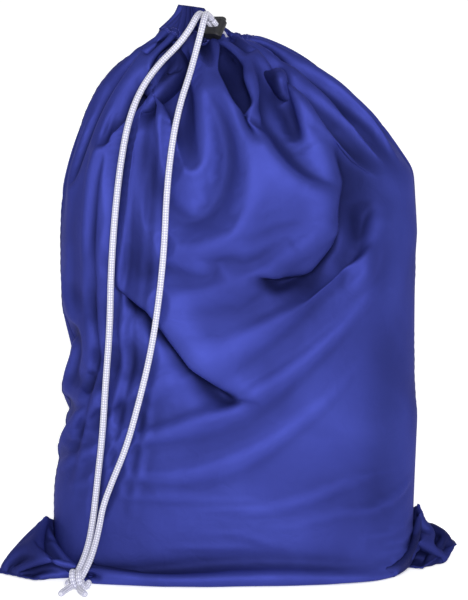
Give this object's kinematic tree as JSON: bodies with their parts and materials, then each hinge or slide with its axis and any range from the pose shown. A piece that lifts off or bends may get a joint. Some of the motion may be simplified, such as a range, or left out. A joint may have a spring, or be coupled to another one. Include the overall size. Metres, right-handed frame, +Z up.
{
  "type": "laundry bag",
  "caption": "Drawstring laundry bag, filled and standing on its base, mouth drawn shut on a cord held by a sliding cord lock, cord ends knotted together on the floor.",
  "frame": {"origin": "on the floor, at the centre of the filled bag's footprint box (the loose cord not counted)", "axes": "+Z up; -Y towards the front, where the cord hangs; +X to the viewer's right. The two flat side seams lie near the XZ plane."},
  "size_m": [0.58, 0.3579, 0.699],
  "materials": {
    "nylon": "royal blue woven nylon with a satin sheen",
    "nylon_seam": "sewn nylon seam allowances with overlock thread",
    "thread": "polyester sewing thread",
    "cord": "soft white braided cord",
    "laundry": "mixed washing",
    "lock_plastic": "black moulded plastic",
    "spring_steel": "bright spring wire"
  },
  "bodies": {
    "bag": {"front_panel": "nylon", "back_panel": "nylon", "left_side_seam": "nylon_seam", "right_side_seam": "nylon_seam", "bottom_seam": "nylon_seam", "front_hem_casing": "nylon", "back_hem_casing": "nylon", "hem_stitching": "thread", "drawcord_mouth_loop": "cord", "left_strand": "cord", "right_strand": "cord", "end_knot": "cord", "cord_tails": "cord", "laundry_load": "laundry"},
    "cord_lock": {"lock_barrel": "lock_plastic", "lock_spring": "spring_steel"},
    "lock_button": {"lock_plunger": "lock_plastic"}
  },
  "joints": [
    {"name": "lock_slide", "type": "slide", "parent": "bag", "child": "cord_lock", "axis": [-0.4504, -0.6606, 0.6006], "range_m": [0, 0.008]},
    {"name": "button_press", "type": "slide", "parent": "cord_lock", "child": "lock_button", "axis": [-0.3383, -0.4962, -0.7996], "range_m": [0, 0.004], "stiffness_N_per_m": 1000, "springref_m": -0.002, "deforming": ["lock_spring"]}
  ]
}
